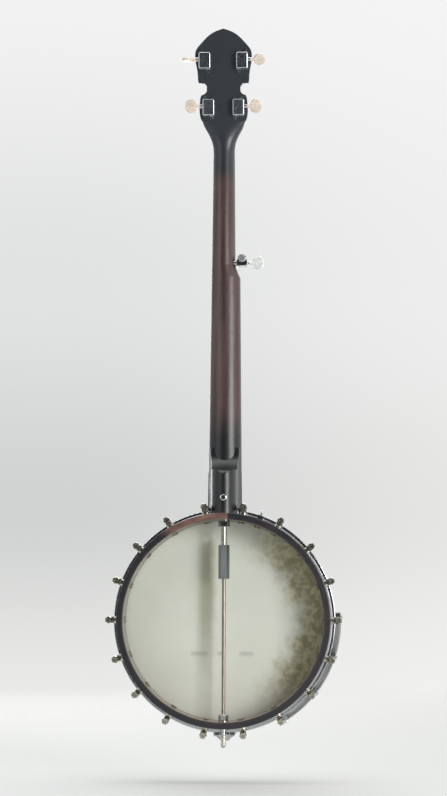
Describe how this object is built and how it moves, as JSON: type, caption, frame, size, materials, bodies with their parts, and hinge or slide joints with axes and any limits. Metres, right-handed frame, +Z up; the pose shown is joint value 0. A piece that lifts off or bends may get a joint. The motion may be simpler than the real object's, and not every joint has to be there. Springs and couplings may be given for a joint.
{
  "type": "banjo",
  "caption": "Open-back five-string banjo: slim neck with leaning peghead, round wooden pot with stretched head, rod, hooks, armrest and geared tuners.",
  "frame": {"origin": "at the nut, on the plane where the fingerboard is glued to the neck and on the middle line of the pot; a hanger's yoke holds the neck here", "axes": "+Z up the neck to the peghead, strings and head face -Y, open back faces +Y, +X right seen from the strings' side"},
  "size_m": [0.3082, 0.0795, 0.958],
  "materials": {
    "neck_wood": "satin",
    "rim_wood": "satin",
    "ebony": "satin",
    "black_veneer": "satin",
    "brass": "turned",
    "drumhead": "frosted",
    "aluminium": "satin",
    "chrome": "polished",
    "steel": "drawn",
    "nickel_silver": "polished",
    "bone": "polished",
    "pearl": "pearly",
    "maple": "bare",
    "black_plastic": "polished"
  },
  "bodies": {
    "banjo": {"armrest": "chrome", "armrest_clamps": "chrome", "bracket_shoes": "chrome", "bridge": "maple", "clamp_screws": "chrome", "coupling_sleeve": "steel", "end_nut": "chrome", "fifth_cap": "chrome", "fifth_housing": "chrome", "fifth_nut": "bone", "fingerboard": "ebony", "flesh_hoop": "aluminium", "frets": "nickel_silver", "head_collar": "drumhead", "head_skin": "drumhead", "heel_nut": "chrome", "hook_nuts": "chrome", "hooks": "chrome", "lower_rod": "steel", "neck": "neck_wood", "neck_rod": "steel", "nut": "bone", "peghead_overlay": "black_veneer", "peghead_screws": "chrome", "position_dots": "pearl", "rim": "rim_wood", "rod_washers": "chrome", "shoe_bolts": "chrome", "strap_button": "chrome", "strap_eye": "chrome", "strap_screw": "chrome", "strings": "steel", "tail_nut": "chrome", "tail_spacer": "chrome", "tailpiece_bracket": "chrome", "tailpiece_cover": "chrome", "tailpiece_screw": "chrome", "tension_hoop": "chrome", "tone_ring": "brass", "truss_cover": "black_plastic", "truss_rod": "steel", "tuner_bushings": "chrome", "tuner_covers": "chrome", "tuner_plates": "chrome"},
    "upper_treble_key": {"upper_treble_button": "pearl", "upper_treble_worm_shaft": "chrome"},
    "upper_treble_string_post": {"upper_treble_post": "chrome"},
    "upper_bass_key": {"upper_bass_button": "pearl", "upper_bass_worm_shaft": "chrome"},
    "upper_bass_string_post": {"upper_bass_post": "chrome"},
    "lower_treble_key": {"lower_treble_button": "pearl", "lower_treble_worm_shaft": "chrome"},
    "lower_treble_string_post": {"lower_treble_post": "chrome"},
    "lower_bass_key": {"lower_bass_button": "pearl", "lower_bass_worm_shaft": "chrome"},
    "lower_bass_string_post": {"lower_bass_post": "chrome"},
    "fifth_key": {"fifth_button": "pearl", "fifth_worm_shaft": "chrome"},
    "fifth_string_post": {"fifth_post": "chrome"}
  },
  "joints": [
    {"name": "upper_treble_key_turn", "type": "hinge", "parent": "banjo", "child": "upper_treble_key", "pos_m": [0.0284, 0.04435, 0.12602], "axis": [1, 0, 0], "continuous": true},
    {"name": "upper_treble_post_turn", "type": "hinge", "parent": "banjo", "child": "upper_treble_string_post", "pos_m": [0.0284, 0.04302, 0.11976], "axis": [0, 0.9781, -0.2079], "continuous": true},
    {"name": "upper_bass_key_turn", "type": "hinge", "parent": "banjo", "child": "upper_bass_key", "pos_m": [-0.022, 0.04435, 0.12602], "axis": [-1, 0, 0], "continuous": true},
    {"name": "upper_bass_post_turn", "type": "hinge", "parent": "banjo", "child": "upper_bass_string_post", "pos_m": [-0.022, 0.04302, 0.11976], "axis": [0, 0.9781, -0.2079], "continuous": true},
    {"name": "lower_treble_key_turn", "type": "hinge", "parent": "banjo", "child": "lower_treble_key", "pos_m": [0.0234, 0.03136, 0.06489], "axis": [1, 0, 0], "continuous": true},
    {"name": "lower_treble_post_turn", "type": "hinge", "parent": "banjo", "child": "lower_treble_string_post", "pos_m": [0.0234, 0.03003, 0.05863], "axis": [0, 0.9781, -0.2079], "continuous": true},
    {"name": "lower_bass_key_turn", "type": "hinge", "parent": "banjo", "child": "lower_bass_key", "pos_m": [-0.017, 0.03136, 0.06489], "axis": [-1, 0, 0], "continuous": true},
    {"name": "lower_bass_post_turn", "type": "hinge", "parent": "banjo", "child": "lower_bass_string_post", "pos_m": [-0.017, 0.03003, 0.05863], "axis": [0, 0.9781, -0.2079], "continuous": true},
    {"name": "fifth_key_turn", "type": "hinge", "parent": "banjo", "child": "fifth_key", "pos_m": [-0.03, 0.0072, -0.1462], "axis": [1, 0, 0], "continuous": true},
    {"name": "fifth_post_turn", "type": "hinge", "parent": "banjo", "child": "fifth_string_post", "pos_m": [-0.0218, 0.0072, -0.1406], "axis": [0, 1, 0], "continuous": true}
  ],
  "couplings": [
    {"joint": "upper_treble_post_turn", "follows": "upper_treble_key_turn", "ratio": -0.071429},
    {"joint": "upper_bass_post_turn", "follows": "upper_bass_key_turn", "ratio": 0.071429},
    {"joint": "lower_treble_post_turn", "follows": "lower_treble_key_turn", "ratio": -0.071429},
    {"joint": "lower_bass_post_turn", "follows": "lower_bass_key_turn", "ratio": 0.071429},
    {"joint": "fifth_post_turn", "follows": "fifth_key_turn", "ratio": 0.083333}
  ]
}
